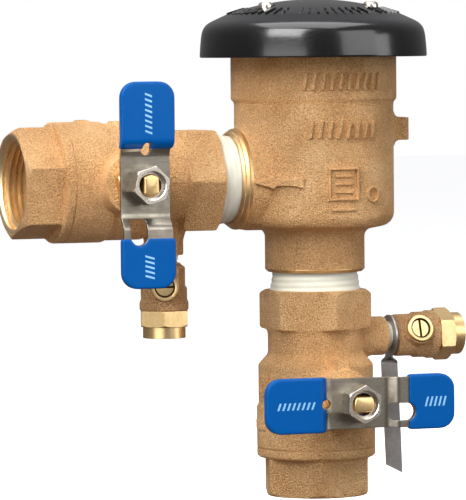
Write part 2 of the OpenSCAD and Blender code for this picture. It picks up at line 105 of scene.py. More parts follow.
MIDDLE = (-0.03, 0, 0.1)
softbox("key", (-0.95, -0.75, 0.9), MIDDLE, 0.9, 0.8, 27)
softbox("top", (-0.1, -0.1, 1.2), MIDDLE, 1.2, 1.1, 17)
softbox("low", (-1.15, -0.95, 0.16), MIDDLE, 1.2, 0.5, 6)
softbox("fill", (1.0, -0.75, 0.2), MIDDLE, 0.35, 0.6, 2.5)
softbox("front", (0.62, -1.25, 0.55), MIDDLE, 1.0, 0.8, 8)

# The camera sees plain white, and the object is lit by a ramp from the ground up to the sky
world = bpy.data.worlds.new("studio")
scene.world = world
world.use_nodes = True
wt = world.node_tree
wt.nodes.clear()


def world_node(kind, **sockets):
    n = wt.nodes.new(kind)
    for k, v in sockets.items():
        n.inputs[k].default_value = v
    return n


coord = world_node("ShaderNodeTexCoord")
split = world_node("ShaderNodeSeparateXYZ")
ramp = world_node("ShaderNodeValToRGB")
shift = world_node("ShaderNodeMapRange")
ramp.color_ramp.elements[0].position = 0.0
ramp.color_ramp.elements[0].color = (0.26, 0.19, 0.165, 1)
ramp.color_ramp.elements[1].position = 1.0
ramp.color_ramp.elements[1].color = (0.72, 0.73, 0.76, 1)
mid = ramp.color_ramp.elements.new(0.5)
mid.color = (0.26, 0.25, 0.25, 1)
lit = world_node("ShaderNodeBackground", Strength=0.75)
seen = world_node("ShaderNodeBackground", Strength=1.0)
seen.inputs["Color"].default_value = (1, 1, 1, 1)
path = world_node("ShaderNodeLightPath")
mix = world_node("ShaderNodeMixShader")
out = world_node("ShaderNodeOutputWorld")
shift.inputs["From Min"].default_value = -1
wt.links.new(coord.outputs["Generated"], split.inputs[0])
wt.links.new(split.outputs["Z"], shift.inputs["Value"])
wt.links.new(shift.outputs["Result"], ramp.inputs[0])
wt.links.new(ramp.outputs["Color"], lit.inputs["Color"])
wt.links.new(path.outputs["Is Camera Ray"], mix.inputs[0])
wt.links.new(lit.outputs[0], mix.inputs[1])
wt.links.new(seen.outputs[0], mix.inputs[2])
wt.links.new(mix.outputs[0], out.inputs["Surface"])

# ---------- materials ----------


class Shader:
    """One procedural material: a principled shader fed from object coordinates."""

    def __init__(self, name, colour, metallic, roughness, coat=0.0, coat_roughness=0.1, specular=0.5):
        self.mat = bpy.data.materials.new(name)
        self.mat.use_nodes = True
        self.tree = self.mat.node_tree
        self.bsdf = self.tree.nodes["Principled BSDF"]
        self.bsdf.inputs["Base Color"].default_value = (*colour, 1)
        self.bsdf.inputs["Metallic"].default_value = metallic
        self.bsdf.inputs["Roughness"].default_value = roughness
        self.bsdf.inputs["Coat Weight"].default_value = coat
        self.bsdf.inputs["Coat Roughness"].default_value = coat_roughness
        self.bsdf.inputs["Specular IOR Level"].default_value = specular
        self.coord = self.tree.nodes.new("ShaderNodeTexCoord").outputs["Object"]

    def link(self, a, b):
        self.tree.links.new(a, b)

    def node(self, kind, **sockets):
        n = self.tree.nodes.new(kind)
        for k, v in sockets.items():
            n.inputs[k].default_value = v
        return n

    def stretched(self, scale):
        """Object coordinates scaled along each axis, for a grain that runs one way."""
        m = self.node("ShaderNodeMapping")
        m.inputs["Scale"].default_value = scale
        self.link(self.coord, m.inputs["Vector"])
        return m.outputs["Vector"]

    def noise(self, per_metre, detail=3.0, rough=0.55, vector=None):
        n = self.node("ShaderNodeTexNoise", Scale=per_metre, Detail=detail, Roughness=rough)
        self.link(vector or self.coord, n.inputs["Vector"])
        return n.outputs["Fac"]

    def fit(self, value, a, b, low, high):
        """value, with the range a to b brought to low to high."""
        n = self.node("ShaderNodeMapRange")
        for k, v in (("From Min", a), ("From Max", b), ("To Min", low), ("To Max", high)):
            n.inputs[k].default_value = v
        self.link(value, n.inputs["Value"])
        return n.outputs["Result"]

    def sum(self, a, b, scale_b=1.0):
        """a + scale_b * b"""
        n = self.node("ShaderNodeMath")
        n.operation = "ADD"
        self.link(a, n.inputs[0])
        if scale_b != 1.0:
            m = self.node("ShaderNodeMath")
            m.operation = "MULTIPLY"
            m.inputs[1].default_value = scale_b
            self.link(b, m.inputs[0])
            b = m.outputs[0]
        self.link(b, n.inputs[1])
        return n.outputs[0]

    def colours(self, value, stops):
        n = self.node("ShaderNodeValToRGB")
        ramp = n.color_ramp
        while len(ramp.elements) < len(stops):
            ramp.elements.new(0.5)
        for e, (place, colour) in zip(ramp.elements, stops):
            e.position = place
            e.color = (*colour, 1)
        self.link(value, n.inputs["Fac"])
        return n.outputs["Color"]

    def multiply(self, colour, value):
        n = self.tree.nodes.new("ShaderNodeMix")
        n.data_type = "RGBA"
        n.blend_type = "MULTIPLY"
        n.inputs[0].default_value = 1.0
        self.link(colour, n.inputs[6])
        self.link(value, n.inputs[7])
        return n.outputs[2]

    def paint(self, colour):
        self.link(colour, self.bsdf.inputs["Base Color"])

    def gloss(self, value):
        self.link(value, self.bsdf.inputs["Roughness"])

    def bump(self, height, strength, distance_mm):
        n = self.node("ShaderNodeBump", Strength=strength, Distance=distance_mm * MM)
        self.link(height, n.inputs["Height"])
        self.link(n.outputs["Normal"], self.bsdf.inputs["Normal"])


def cast_bronze(name, dark, middle, light, grain=1.0):
    """Sand-cast bronze: a fine grain with dark specks, and slow changes of tone."""
    s = Shader(name, middle, 0.8, 0.55)
    sand = s.noise(1500, 3, 0.55)
    fine = s.noise(3000, 2, 0.5)
    tone = s.noise(45, 3, 0.6)
    specks = s.fit(s.noise(2100, 2, 0.6), 0.36, 0.48, 0.64, 1.0)
    mixed = s.sum(s.sum(tone, sand, scale_b=1.1), fine, scale_b=0.7)
    base = s.colours(s.fit(mixed, 0.83, 1.88, 0, 1), [(0.0, dark), (0.5, middle), (1.0, light)])
    s.paint(s.multiply(base, specks))
    s.gloss(s.fit(sand, 0.3, 0.7, 0.56, 0.42))
    s.bump(s.sum(sand, fine, scale_b=0.5), 1.0, 1.1 * grain)
    return s.mat


def turned_brass(name, colour, pale, axis_scale, roughness=0.27):
    """Machined brass with fine tool marks round its axis."""
    s = Shader(name, colour, 1.0, roughness)
    marks = s.noise(260, 2, 0.6, s.stretched(axis_scale))
    stain_and_shade = s.noise(110, 4, 0.65)
    s.paint(s.colours(s.sum(stain_and_shade, marks, scale_b=0.3), [(0.35, colour), (0.85, pale)]))
    s.gloss(s.fit(stain_and_shade, 0.3, 0.7, roughness + 0.1, roughness - 0.06))
    s.bump(s.sum(marks, stain_and_shade, scale_b=0.4), 0.25, 0.12)
    return s.mat


def rolled_steel(name, colour, dull, roughness, brush, relief=0.16):
    """Stainless strip or bar: brushed along its length, with faint scratches and stains."""
    s = Shader(name, colour, 1.0, roughness)
    lines = s.noise(420, 3, 0.7, s.stretched(brush))
    stain_and_shade = s.noise(95, 5, 0.7)
    s.paint(s.colours(s.sum(stain_and_shade, lines, scale_b=0.35), [(0.45, dull), (0.85, colour)]))
    s.gloss(s.fit(s.sum(stain_and_shade, lines, scale_b=0.5), 0.4, 1.1, roughness + 0.14, roughness - 0.08))
    s.bump(lines, relief, 0.06)
    return s.mat


def moulded(name, colour, roughness, grain_per_m=1500, strength=0.12, coat=0.0, coat_roughness=0.1,
            vary=0.12, specular=0.5, uneven=0.04):
    """Plastic, vinyl, rubber or tape: a slow change of tone and a fine skin."""
    s = Shader(name, colour, 0.0, roughness, coat, coat_roughness, specular)
    skin = s.noise(grain_per_m, 3, 0.5)
    tone = s.noise(70, 3, 0.6)
    low = tuple(c * (1 - vary) for c in colour)
    high = tuple(min(1, c * (1 + vary)) for c in colour)
    s.paint(s.colours(tone, [(0.3, low), (0.7, high)]))
    s.gloss(s.fit(skin, 0.3, 0.7, roughness + uneven, max(0.03, roughness - uneven)))
    s.bump(s.sum(skin, tone, scale_b=2.0), strength, 0.1)
    return s.mat


CAST = cast_bronze("sand_cast_bronze", (0.40, 0.205, 0.085), (0.72, 0.42, 0.185), (0.98, 0.70, 0.39))
CAST_COCK = cast_bronze(
    "sand_cast_bronze_cock", (0.27, 0.135, 0.06), (0.58, 0.335, 0.155), (0.86, 0.59, 0.33), grain=1.3,
)
BRASS = turned_brass("turned_brass", (0.62, 0.40, 0.15), (0.88, 0.66, 0.35), (3, 3, 3), 0.33)
BRASS_PORT = turned_brass("threaded_port_brass", (0.60, 0.42, 0.21), (0.86, 0.68, 0.43), (2, 2, 2), 0.36)
MACHINED = turned_brass("machined_bronze", (0.46, 0.27, 0.10), (0.78, 0.53, 0.26), (2, 2, 2), 0.4)
# A near-black brass, used as painted shade in a slot and in a bore, where shade falls.
PAINTED_SHADE = turned_brass("painted_shade_brass", (0.05, 0.03, 0.015), (0.10, 0.06, 0.03), (2, 2, 2), 0.5)
STRIP = rolled_steel("stamped_stainless", (0.35, 0.316, 0.26), (0.165, 0.146, 0.115), 0.3, (0.25, 2.5, 2.5))
BRIGHT = rolled_steel(
    "plated_nut_steel", (0.74, 0.69, 0.62), (0.46, 0.42, 0.36), 0.24, (1.5, 1.5, 1.5), relief=0.04,
)
STRAP = rolled_steel("strap_steel", (0.52, 0.50, 0.49), (0.32, 0.31, 0.305), 0.36, (2.5, 2.5, 0.3))
SPRING = rolled_steel("spring_wire", (0.6, 0.6, 0.6), (0.45, 0.45, 0.45), 0.3, (1, 1, 1))
BALL = rolled_steel("chromed_ball", (0.85, 0.85, 0.86), (0.75, 0.75, 0.76), 0.08, (1, 1, 1), relief=0.03)
VINYL = moulded(
    "dipped_vinyl", (0.0, 0.070, 0.272), 0.28, 900, 0.01,
    coat=0.03, coat_roughness=0.1, vary=0.02, specular=0.1, uneven=0.002,
)
MARK = moulded("printed_mark", (0.20, 0.42, 0.66), 0.4, 2500, 0.1, specular=0.2)
TAPE = moulded("ptfe_tape", (0.60, 0.59, 0.50), 0.5, 700, 0.35, vary=0.05, specular=0.2)
PTFE = moulded("ptfe_ring", (0.86, 0.86, 0.84), 0.4, vary=0.04)
BLACK = moulded(
    "gloss_black_canopy", (0.0022, 0.0022, 0.0024), 0.2, 1100, 0.04,
    coat=0.12, coat_roughness=0.08, vary=0.2,
)
DARK = moulded("dark_moulding", (0.03, 0.03, 0.033), 0.5)
PALE = moulded("pale_acetal", (0.75, 0.72, 0.62), 0.4)
RUBBER = moulded("black_rubber", (0.02, 0.02, 0.02), 0.65, 1800, 0.3)
RED = moulded("silicone_disc", (0.42, 0.10, 0.06), 0.5)

SLOT_LOOK = {
    "cast_bronze": CAST, "brass": BRASS, "black_plastic": BLACK, "dark_plastic": DARK,
    "pale_plastic": PALE, "black_rubber": RUBBER, "red_rubber": RED, "white_ptfe": PTFE,
    "white_tape": TAPE, "blue_vinyl": VINYL, "strap_steel": STRIP, "bright_steel": BRIGHT,
    "spring_steel": SPRING, "chromed_ball": BALL,
}
node_slot = {s["node"]: s["material_slot"] for s in frame["record"]["subparts"]}
for node, obj in frame["nodes"].items():
    obj.data.materials.clear()
    obj.data.materials.append(SLOT_LOOK[node_slot[node]])

# ---------- mesh helpers, in millimetres until a piece is made ----------


def axes(origin, x, y, z):
    """A matrix whose columns are the directions that local x, y and z point in."""
    m = Matrix.Identity(4)
    for i, d in enumerate((x, y, z)):
        for k in range(3):
            m[k][i] = d[k]
    for k in range(3):
        m[k][3] = origin[k]
    return m


def turned(m, parts):
    """(verts, faces) put through a matrix."""
    return [m @ Vector(v) for v in parts[0]], parts[1]


def joined(parts):
    """Several (verts, faces) as one."""
    verts, faces = [], []
    for v, f in parts:
        n = len(verts)
        verts += [tuple(p) for p in v]
        faces += [tuple(i + n for i in face) for face in f]
    return verts, faces


def lathe(profile, seg=SEG):
    """A closed loop of (radius, height) turned about local z."""
    verts = [
        (r * math.cos(tau * j / seg), r * math.sin(tau * j / seg), z)
        for r, z in profile for j in range(seg)
    ]
    n = len(profile)
    faces = [
        (i * seg + j, i * seg + (j + 1) % seg, ((i + 1) % n) * seg + (j + 1) % seg, ((i + 1) % n) * seg + j)
        for i in range(n) for j in range(seg)
    ]
    return verts, faces


def loft(rings, closed=False):
    """Rings of points, each the same length, joined one to the next. Open ends are capped."""
    n, k = len(rings), len(rings[0])
    verts = [tuple(p) for r in rings for p in r]
    faces = [
        (i * k + j, i * k + (j + 1) % k, ((i + 1) % n) * k + (j + 1) % k, ((i + 1) % n) * k + j)
        for i in range(n if closed else n - 1) for j in range(k)
    ]
    if not closed:
        faces += [tuple(range(k - 1, -1, -1)), tuple(range((n - 1) * k, n * k))]
    return verts, faces


def box(x0, x1, y0, y1, z0, z1):
    """A plain block, for a stem's tang or to carve a slot."""
    low = [(x0, y0, z0), (x1, y0, z0), (x1, y1, z0), (x0, y1, z0)]
    return loft([low, [(x, y, z1) for x, y, _ in low]])


def coil_thread(root, crest, pitch, z0, z1, seg=72, flat=0.18, sink=0.25):
    """A helical ridge between two heights, standing from radius root to radius crest."""
    turns = (z1 - z0) / pitch - 1
    count = max(8, int(turns * seg))
    rings = []
    for i in range(count + 1):
        t = i / count
        a = tau * turns * t
        fade = min(1.0, 6 * t, 6 * (1 - t))
        top = root + (crest - root) * fade
        base = root - sink if crest > root else root + sink
        z = z0 + pitch / 2 + turns * pitch * t
        half, crest_half = pitch * 0.47, flat * pitch / 2
        section = [(base, z - half), (top, z - crest_half), (top, z + crest_half), (base, z + half)]
        rings.append([(r * math.cos(a), r * math.sin(a), h) for r, h in section])
    return loft(rings)


def saddle(r, big, f, low=-10.0, steps=96, arc=6):
    """The cast fillet where a boss of radius r along local z leaves a cylinder of radius big
    along local y. It fades out below local y = low."""
    rings = []
    for i in range(steps):
        a = tau * i / steps
        fade = max(0.04, min(1.0, (math.sin(a) * r - low) / 5.0))
        g = f * fade

        def height(p):
            return math.sqrt(max(0.0, big * big - (p * math.cos(a)) ** 2))

        ha, hb = height(r) + g, height(r + g)
        turns = [math.pi / 2 * k / arc for k in range(arc + 1)]
        line = [(r + g * (1 - math.cos(t)), ha + (hb - ha) * math.sin(t)) for t in turns]
        line += [(r + g, hb - 1.2), (r - 1.2, height(r) - 1.5), (r - 1.2, ha)]
        rings.append([(p * math.cos(a), p * math.sin(a), h) for p, h in line])
    return loft(rings, closed=True)


def raised(outline, top, radius, proud):
    """A raised mark on a cylinder about local z: its foot and its smaller top, both as points of
    (angle in degrees, height)."""
    def at(line, r):
        return [(r * math.cos(math.radians(a)), r * math.sin(math.radians(a)), z) for a, z in line]

    return loft([at(outline, radius - 0.5), at(outline, radius + 0.05), at(top, radius + proud)])


def bar_on(radius, a0, a1, z0, z1, proud, steps=4, slant=0.0):
    """A raised bar on a cylinder about local z, between two angles and two heights. Its top leans
    by slant degrees."""
    inset = min(0.22, (z1 - z0) / 4)
    turn = math.degrees(inset / radius)

    def line(b0, b1, c0, c1):
        low = [(b0 + (b1 - b0) * i / steps, c0) for i in range(steps + 1)]
        high = [(b1 + slant + (b0 - b1) * i / steps, c1) for i in range(steps + 1)]
        return low + high

    return raised(line(a0, a1, z0, z1), line(a0 + turn, a1 - turn, z0 + inset, z1 - inset), radius, proud)


def mesh_of(name, verts, faces, sharp=None):
    """A smooth-shaded mesh in metres. Edges over sharp degrees stay hard."""
    mesh = bpy.data.meshes.new(name)
    mesh.from_pydata([tuple(c * MM for c in v) for v in verts], [], faces)
    bm = bmesh.new()
    bm.from_mesh(mesh)
    bmesh.ops.remove_doubles(bm, verts=bm.verts, dist=1e-7)
    bmesh.ops.recalc_face_normals(bm, faces=bm.faces)
    bm.to_mesh(mesh)
    bm.free()
    shade(mesh, sharp)
    return mesh


def shade(mesh, sharp):
    for p in mesh.polygons:
        p.use_smooth = True
    if sharp:
        mesh.set_sharp_from_angle(angle=math.radians(sharp))


def cad_parts(node):
    """A CAD node's own mesh as (verts, faces) in millimetres."""
    bm = bmesh.new()
    bm.from_mesh(frame["nodes"][node].data)
    bmesh.ops.remove_doubles(bm, verts=bm.verts, dist=2e-6)
    bm.verts.ensure_lookup_table()
    parts = (
        [tuple(c / MM for c in v.co) for v in bm.verts],
        [tuple(v.index for v in f.verts) for f in bm.faces],
    )
    bm.free()
    return parts


def applied(obj):
    """The object's mesh with its modifiers applied, as a new mesh."""
    dg = bpy.context.evaluated_depsgraph_get()
    dg.update()
    return bpy.data.meshes.new_from_object(obj.evaluated_get(dg))


def piece(name, mesh, body, look, replaces=()):
    """An object that rides with a body and, where it says so, stands in for CAD nodes."""
    obj = bpy.data.objects.new(name, mesh)
    scene.collection.objects.link(obj)
    obj.data.materials.clear()
    obj.data.materials.append(look)
    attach(obj, body)
    if replaces:
        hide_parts(*replaces)
    return obj


def stain_and_shade(obj, to_local, dark):
    """Paints shade, as a near-black brass, on the faces whose middle, in millimetres in a local frame,
    passes a test.
    """
    obj.data.materials.append(PAINTED_SHADE)
    for p in obj.data.polygons:
        if dark(to_local @ p.center / MM):
            p.material_index = 1


def carved(mesh, cutter):
    """mesh less cutter."""
    a = bpy.data.objects.new("carve_a", mesh)
    b = bpy.data.objects.new("carve_b", cutter)
    for o in (a, b):
        scene.collection.objects.link(o)
    m = a.modifiers.new("cut", "BOOLEAN")
    m.operation, m.solver, m.object = "DIFFERENCE", "EXACT", b
    cut = applied(a)
    bpy.data.objects.remove(a)
    bpy.data.objects.remove(b)
    return cut


def softened(name, mesh, voxel_mm, rounds, most=185000, factor=0.5):
    """Closed solids melted into one skin, as a casting or a dip coat has, then smoothed."""
    obj = bpy.data.objects.new(name + "_soft", mesh)
    scene.collection.objects.link(obj)
    m = obj.modifiers.new("remesh", "REMESH")
    m.mode = "VOXEL"
    m.voxel_size = voxel_mm * MM * 1
    m = obj.modifiers.new("smooth", "SMOOTH")
    m.factor, m.iterations = factor, rounds
    fresh = applied(obj)
    triangles = 2 * len(fresh.polygons)
    if triangles > most:
        obj.modifiers.clear()
        obj.data = fresh
        m = obj.modifiers.new("thin", "DECIMATE")
        m.ratio = most / triangles
        fresh = applied(obj)
    bpy.data.objects.remove(obj)
    shade(fresh, None)
    fresh.name = name
    return fresh


def bevelled(name, mesh, width_mm, segments=2, angle=32):
    """A mesh with its edges rounded off."""
    obj = bpy.data.objects.new(name + "_edge", mesh)
    scene.collection.objects.link(obj)
    bm = bmesh.new()
    bm.from_mesh(mesh)
    bmesh.ops.dissolve_limit(bm, angle_limit=math.radians(0.5), verts=bm.verts, edges=bm.edges)
    bm.to_mesh(mesh)
    bm.free()
    m = obj.modifiers.new("bevel", "BEVEL")
    m.width, m.segments = width_mm * MM, segments
    m.limit_method, m.angle_limit = "ANGLE", math.radians(angle)
    m.use_clamp_overlap = True
    m.harden_normals = False
    m = obj.modifiers.new("normals", "WEIGHTED_NORMAL")
    m.keep_sharp = True
    m.weight = 60
    shade(mesh, None)
    fresh = applied(obj)
    bpy.data.objects.remove(obj)
    fresh.name = name
    return fresh


def moved(mesh, m, name):
    """A copy of a mesh in metres, put through a matrix in metres."""
    fresh = mesh.copy()
    fresh.transform(m)
    fresh.name = name
    return fresh


# ---------- frames of the assembly ----------

OUTLET_FACE, OUTLET_Z = 121.5, 121.5
STEM_S, COCK_S, COCK_REACH = 38.1, 60.0, 28.1
THREAD_PITCH, COCK_PITCH = 2.209, 1.41

# Where a mesh in the inlet valve's place goes on each side, in metres
SIDES = {
    "inlet": Matrix.Identity(4),
    "outlet": Matrix.Translation((-OUTLET_FACE * MM, 0, OUTLET_Z * MM))
    @ Matrix.Rotation(math.pi / 2, 4, "Y"),
}

# Local frames in millimetres, whose z runs outward along the stem, the test cock or the outlet
ALONG_STEM = axes((0, 0, STEM_S), (1, 0, 0), (0, 0, 1), (0, -1, 0))
ALONG_COCK = axes((0, 0, COCK_S), (0, 1, 0), (0, 0, 1), (1, 0, 0))
ALONG_OUTLET = axes((0, 0, OUTLET_Z), (0, -1, 0), (0, 0, 1), (-1, 0, 0))


def own_piece(side, name, mesh, body, look, node=None):
    """One side's piece, from a mesh that is already in its place."""
    return piece(f"{side}_{name}", mesh, body, look, [f"{side}_{node}"] if node else ())


def side_piece(side, name, mesh, body, look, slot, node=None):
    """One side's piece, from a mesh in the inlet valve's place."""
    return own_piece(side, name, moved(mesh, SIDES[side], f"{side}_{name}"), body, look, node)



# ---------- ball valves ----------

CHAMBER_R, CHAMBER_STEP_R, NECK_R = 22.7, 22.0, 18.3


def parting_fin(side):
    """The thin fin that the mould's halves left along the valve, in the plane of its stem."""
    line = [(CHAMBER_R, 19), (CHAMBER_R, 34.2), (CHAMBER_STEP_R, 35.2), (CHAMBER_STEP_R, 50),
            (NECK_R + 1.0, 53.4), (NECK_R, 56), (NECK_R, 63)]
    proud, half = 0.28, 0.3
    rings = [
        [(-half, side * (r - 1), z), (half, side * (r - 1), z),
         (half * 0.5, side * (r + proud), z), (-half * 0.5, side * (r + proud), z)]
        for r, z in line
    ]
    return loft(rings)


def valve_casting():
    """The valve's body with its bosses' fillets, its parting fins and a few cast bars."""
    extras = [
        turned(ALONG_STEM, saddle(11.6, CHAMBER_R - 0.3, 2.4, low=-40)),
        turned(ALONG_COCK, saddle(7.5, NECK_R, 3.0, low=-40)),
        parting_fin(-1), parting_fin(1),
    ]
    for i in range(4):
        extras.append(bar_on(CHAMBER_STEP_R, 176 + 7 * i, 179.5 + 7 * i, 38.5, 46.5, 0.85))
    for i in range(3):
        extras.append(bar_on(CHAMBER_R, 170 + 8 * i, 175 + 8 * i, 25.5, 30, 0.8))
    solid = mesh_of("valve_parts", *joined([cad_parts("inlet_valve_body")] + extras))
    return softened("valve_casting", solid, 0.42, 4)


def adapter_casting():
    """The end adapter, with a cone at its mouth for the countersink."""
    solid = mesh_of("adapter_parts", *cad_parts("inlet_end_adapter"))
    mouth = mesh_of("mouth_cone", *lathe([(0, -0.6), (18.4, -0.6), (16.4, 1.4), (0, 1.4)]))
    return softened("adapter_casting", carved(solid, mouth), 0.4, 4)


def port_thread():
    """The machined end face, its countersink, and the tapered thread inside."""
    ring = lathe([
        (18.55, 0.3), (18.55, -0.02), (17.75, -0.02), (16.75, 1.05),
        (16.75, 13.95), (17.0, 13.95), (17.0, 1.2),
    ])
    ridge = coil_thread(16.78, 15.25, THREAD_PITCH, 0.2, 14.2, seg=96)
    return mesh_of("port_thread", *joined([ring, ridge]), sharp=50)


valve_mesh = valve_casting()
adapter_mesh = adapter_casting()
thread_mesh = port_thread()


GRIP_FACE = 46.5
STRIP_AT, STRIP_STEP, STEP_FROM, STEP_RUN = 41.5, 3.2, 11.2, 5.2
STRIP_HALF_W, STRIP_CORNER, CORNER_FROM = 9.3, 5.0, 32.1


def grip_mark(x0, x1, count, half_w, lean=0.5):
    """A row of plain slanted bars, printed on a grip's face."""
    pitch = (x1 - x0) / count
    w = pitch * 0.2
    bars = []
    for i in range(count):
        x = x0 + pitch * (i + 0.5)
        outline = [
            (x - w - lean, -half_w), (x + w - lean, -half_w), (x + w + lean, half_w), (x - w + lean, half_w),
        ]
        bars.append(loft([[(*p, z) for p in outline] for z in (GRIP_FACE - 0.35, GRIP_FACE + 0.012)]))
    return mesh_of("grip_mark", *turned(ALONG_STEM, joined(bars)), sharp=40)


def grip_core(x0, x1, steps=24, half_t=1.2):
    """The steel strip inside a grip, a little fat, so that grip and strip melt into one solid."""
    rings = []
    for i in range(steps + 1):
        x = x0 + (x1 - x0) * i / steps
        u = max(0.0, min(1.0, (abs(x) - STEP_FROM) / STEP_RUN))
        mid = -(STRIP_AT + STRIP_STEP * u * u * (3 - 2 * u))
        past = max(0.0, abs(x) - CORNER_FROM)
        w = STRIP_HALF_W - STRIP_CORNER + math.sqrt(STRIP_CORNER ** 2 - past ** 2)
        rings.append([
            (x, mid + y, STEM_S + z) for y, z in ((-half_t, -w), (half_t, -w), (half_t, w), (-half_t, w))
        ])
    return loft(rings)


def soft_grip(node, x0, x1):
    """A dipped coat over one end of the lever, between two places along it."""
    parts = joined([cad_parts(node), grip_core(x0, x1)])
    return softened(node + "_dip", mesh_of("grip_parts", *parts), 0.3, 26, factor=0.6)


handle_mesh = bevelled("handle_strip", mesh_of("handle_parts", *cad_parts("inlet_handle")), 0.28, 2)
packing_mesh = bevelled("packing_nut", mesh_of("packing_parts", *cad_parts("inlet_packing_nut")), 0.25, 2)
NUT_TURN = {"inlet": 27, "outlet": 47}
NUT_AF, NUT_LOW, NUT_TOP = 12.8, 42.4, 50.2
NUT_BORE_R, NUT_RECESS_R, NUT_RECESS_Z = 4.3, 5.15, 47.8


def handle_nut(turn, seg=96):
    """A hexagon nut with its corners just turned off, and a recess round the stem at its outer end."""
    face_r = NUT_AF / 2 / math.cos(math.pi / 6) - 0.35
    walls, rim, face = [], [], []
    for j in range(seg):
        off = (360 * j / seg) % 60 - 30
        r = NUT_AF / 2 / math.cos(math.radians(off))
        walls.append((r, NUT_TOP - 0.12 - max(0.0, r - face_r) * 0.6))
        rim.append((min(r, face_r) - 0.1, NUT_TOP))
        face.append((r, NUT_LOW))
    inner = [[(r, z)] * seg for r, z in (
        (NUT_RECESS_R + 0.3, NUT_TOP), (NUT_RECESS_R, NUT_TOP - 0.3), (NUT_RECESS_R, NUT_RECESS_Z),
        (NUT_BORE_R, NUT_RECESS_Z), (NUT_BORE_R, NUT_LOW),
    )]
    rings = []
    for line in [face, walls, rim] + inner:
        ring = []
        for j, (r, z) in enumerate(line):
            a = math.radians(turn) + tau * j / seg
            ring.append((r * math.cos(a), r * math.sin(a), z))
        rings.append(ring)
    return mesh_of("handle_nut", *turned(ALONG_STEM, loft(rings, closed=True)), sharp=28)


def stem_turned(seg=96):
    """Tang, collar and shank, and a flat-sided end whose edges are rounded."""
    end = []
    for z, r, half in (
        (40.4, 4.2, 3.0), (48.5, 4.2, 3.0), (49.0, 4.15, 2.95),
        (49.3, 4.0, 2.8), (49.5, 3.75, 2.55), (49.6, 3.4, 2.2),
    ):
        turns = [tau * j / seg for j in range(seg)]
        end.append([(r * math.cos(a), max(-half, min(half, r * math.sin(a))), z) for a in turns])
    shank = lathe([(0.01, 17.8), (6.9, 17.8), (6.9, 19), (5, 19), (5, 40.6), (0.01, 40.6)], 64)
    tang = box(-5.5, 5.5, -3, 3, 13.8, 17.9)
    return mesh_of("valve_stem", *turned(ALONG_STEM, joined([tang, shank, loft(end)])), sharp=35)


stem_mesh = stem_turned()
long_mesh = soft_grip("inlet_long_grip", -36.9, -17.2)
short_mesh = soft_grip("inlet_short_grip", 22.8, 36.9)
long_mark = grip_mark(-34, -18.5, 8, 1.35)
short_mark = grip_mark(25.5, 34.5, 5, 1.8)

# A stamped ring on the strip, beside the nut
stamp_mesh = mesh_of("stamp", *turned(
    ALONG_STEM @ Matrix.Translation((8.6, -6.4, 0)),
    lathe([(1.5, 42.0), (1.5, 42.46), (1.15, 42.46), (1.15, 42.0)], 32),
), sharp=40)

for side in SIDES:
    lever = f"{side}_shutoff"
    for row in (
        ("valve_casting", valve_mesh, "assembly", CAST, "cast_bronze", "valve_body"),
        ("adapter_casting", adapter_mesh, "assembly", CAST, "cast_bronze", "end_adapter"),
        ("port_thread", thread_mesh, "assembly", BRASS_PORT, "brass"),
        ("handle_strip", handle_mesh, lever, STRIP, "strap_steel", "handle"),
        ("lever_nut", handle_nut(NUT_TURN[side]), lever, BRIGHT, "bright_steel", "handle_nut"),
        ("gland_nut", packing_mesh, "assembly", BRASS, "brass", "packing_nut"),
        ("valve_stem", stem_mesh, lever, BRASS, "brass", "stem"),
        ("long_sleeve", long_mesh, lever, VINYL, "blue_vinyl", "long_grip"),
        ("short_sleeve", short_mesh, lever, VINYL, "blue_vinyl", "short_grip"),
        ("long_print", long_mark, lever, MARK, "blue_vinyl"),
        ("short_print", short_mark, lever, MARK, "blue_vinyl"),
        ("stamp", stamp_mesh, lever, STRIP, "strap_steel"),
    ):
        side_piece(side, *row)

# ---------- test cocks ----------

COCK_CLOCK = {"inlet": -18.0, "outlet": 17.6}
PLUG_AT = 11.7
COCK_PLUG = {
    side: Matrix.Translation((COCK_REACH * MM, 0, COCK_S * MM))
    @ Matrix.Rotation(math.radians(clock), 4, "X")
    @ Matrix.Translation((PLUG_AT * MM, 0, 0)) @ Matrix.Rotation(math.pi / 2, 4, "X")
    for side, clock in COCK_CLOCK.items()
}
COCK_INNER = axes((COCK_REACH, 0, COCK_S), (0, 1, 0), (0, 0, 1), (1, 0, 0))
COCK_MOUTH = axes((COCK_REACH + 31.3, 0, COCK_S), (0, 1, 0), (0, 0, 1), (-1, 0, 0))
GLAND_INNER_R, SLOT_HALF, SLOT_FLOOR, STEM_TOP = 3.75, 0.47, 8.7, 9.66
gland_mesh = mesh_of("gland_ring", *lathe([
    (3.36, 7.5), (3.36, 9.3), (3.95, 10.35), (4.1, 10.4), (4.95, 10.4), (5.28, 10.05), (5.28, 7.5),
], 96), sharp=25)

